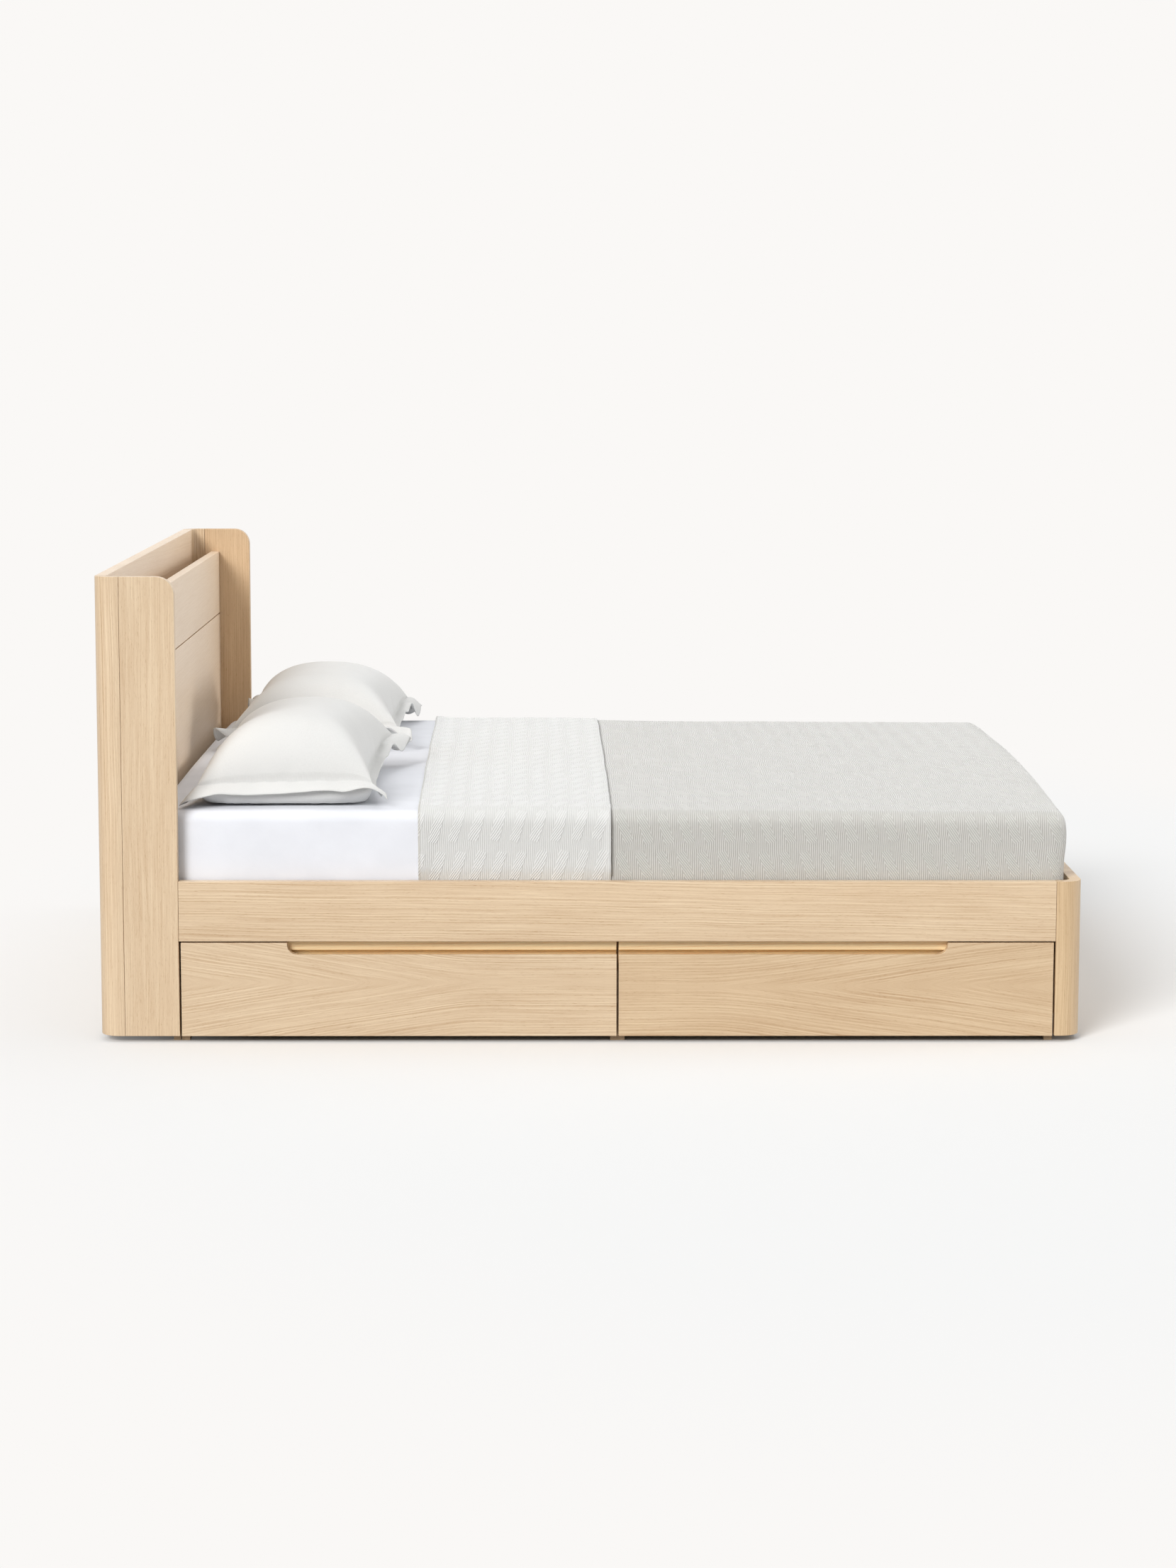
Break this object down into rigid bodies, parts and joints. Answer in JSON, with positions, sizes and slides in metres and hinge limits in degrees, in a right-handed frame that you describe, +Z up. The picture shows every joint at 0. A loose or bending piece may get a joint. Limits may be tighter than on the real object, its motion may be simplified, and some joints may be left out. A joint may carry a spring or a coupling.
{
  "type": "storage bed",
  "caption": "Storage bed in pale oak with a winged shelf headboard, rounded corners, drawers under both sides, a slatted base and made-up bedding.",
  "frame": {"origin": "on the floor, at the middle of the bed's footprint", "axes": "+X from the headboard to the footboard, +Y to the far side, +Z up"},
  "size_m": [2.16, 1.856, 1.025],
  "materials": {
    "oak_veneer": "pale oak veneer, matt lacquer",
    "oak_board": "oak-faced board, matt",
    "solid_oak": "solid oak, oiled",
    "birch": "birch plywood, matt",
    "zinc_steel": "zinc-plated steel",
    "white_sheet": "plain white cotton percale",
    "pillow_linen": "off-white washed linen",
    "coverlet_jacquard": "light grey ribbed jacquard cotton"
  },
  "bodies": {
    "root": {"back_panel": "oak_veneer", "head_post_near": "oak_veneer", "head_post_far": "oak_veneer", "wing_near": "oak_veneer", "wing_far": "oak_veneer", "upper_fascia": "oak_veneer", "lower_panel": "oak_veneer", "headboard_shelf": "oak_board", "head_cross_board": "oak_board", "side_rail_near": "oak_veneer", "side_rail_far": "oak_veneer", "footboard": "oak_veneer", "foot_post_near": "oak_veneer", "foot_post_far": "oak_veneer", "foot_batten": "birch", "head_partition": "oak_board", "middle_partition": "oak_board", "foot_partition": "oak_board", "centre_panels": "birch", "slat_ledges": "birch", "slats": "birch", "corner_brackets": "zinc_steel", "bed_bolts": "zinc_steel", "cabinet_slides": "zinc_steel", "mattress": "white_sheet", "pillow_near": "pillow_linen", "pillow_far": "pillow_linen", "coverlet": "coverlet_jacquard"},
    "drawer_near_head": {"drawer_front_near_head": "oak_veneer", "drawer_pull_strip_near_head": "solid_oak", "drawer_outer_side_near_head": "birch", "drawer_inner_side_near_head": "birch", "drawer_back_near_head": "birch", "drawer_bottom_near_head": "birch", "drawer_slide_near_head": "zinc_steel"},
    "slide_near_head": {"drawer_middle_slide_near_head": "zinc_steel"},
    "drawer_near_foot": {"drawer_front_near_foot": "oak_veneer", "drawer_pull_strip_near_foot": "solid_oak", "drawer_outer_side_near_foot": "birch", "drawer_inner_side_near_foot": "birch", "drawer_back_near_foot": "birch", "drawer_bottom_near_foot": "birch", "drawer_slide_near_foot": "zinc_steel"},
    "slide_near_foot": {"drawer_middle_slide_near_foot": "zinc_steel"},
    "drawer_far_head": {"drawer_front_far_head": "oak_veneer", "drawer_pull_strip_far_head": "solid_oak", "drawer_outer_side_far_head": "birch", "drawer_inner_side_far_head": "birch", "drawer_back_far_head": "birch", "drawer_bottom_far_head": "birch", "drawer_slide_far_head": "zinc_steel"},
    "slide_far_head": {"drawer_middle_slide_far_head": "zinc_steel"},
    "drawer_far_foot": {"drawer_front_far_foot": "oak_veneer", "drawer_pull_strip_far_foot": "solid_oak", "drawer_outer_side_far_foot": "birch", "drawer_inner_side_far_foot": "birch", "drawer_back_far_foot": "birch", "drawer_bottom_far_foot": "birch", "drawer_slide_far_foot": "zinc_steel"},
    "slide_far_foot": {"drawer_middle_slide_far_foot": "zinc_steel"}
  },
  "joints": [
    {"name": "drawer_near_head", "type": "slide", "parent": "root", "child": "drawer_near_head", "axis": [0, -1, 0], "range_m": [0, 0.56]},
    {"name": "slide_near_head", "type": "slide", "parent": "root", "child": "slide_near_head", "axis": [0, -1, 0], "range_m": [0, 0.28]},
    {"name": "drawer_near_foot", "type": "slide", "parent": "root", "child": "drawer_near_foot", "axis": [0, -1, 0], "range_m": [0, 0.56]},
    {"name": "slide_near_foot", "type": "slide", "parent": "root", "child": "slide_near_foot", "axis": [0, -1, 0], "range_m": [0, 0.28]},
    {"name": "drawer_far_head", "type": "slide", "parent": "root", "child": "drawer_far_head", "axis": [0, 1, 0], "range_m": [0, 0.56]},
    {"name": "slide_far_head", "type": "slide", "parent": "root", "child": "slide_far_head", "axis": [0, 1, 0], "range_m": [0, 0.28]},
    {"name": "drawer_far_foot", "type": "slide", "parent": "root", "child": "drawer_far_foot", "axis": [0, 1, 0], "range_m": [0, 0.56]},
    {"name": "slide_far_foot", "type": "slide", "parent": "root", "child": "slide_far_foot", "axis": [0, 1, 0], "range_m": [0, 0.28]}
  ],
  "couplings": [
    {"joint": "slide_near_head", "follows": "drawer_near_head", "ratio": 0.5},
    {"joint": "slide_near_foot", "follows": "drawer_near_foot", "ratio": 0.5},
    {"joint": "slide_far_head", "follows": "drawer_far_head", "ratio": 0.5},
    {"joint": "slide_far_foot", "follows": "drawer_far_foot", "ratio": 0.5}
  ]
}
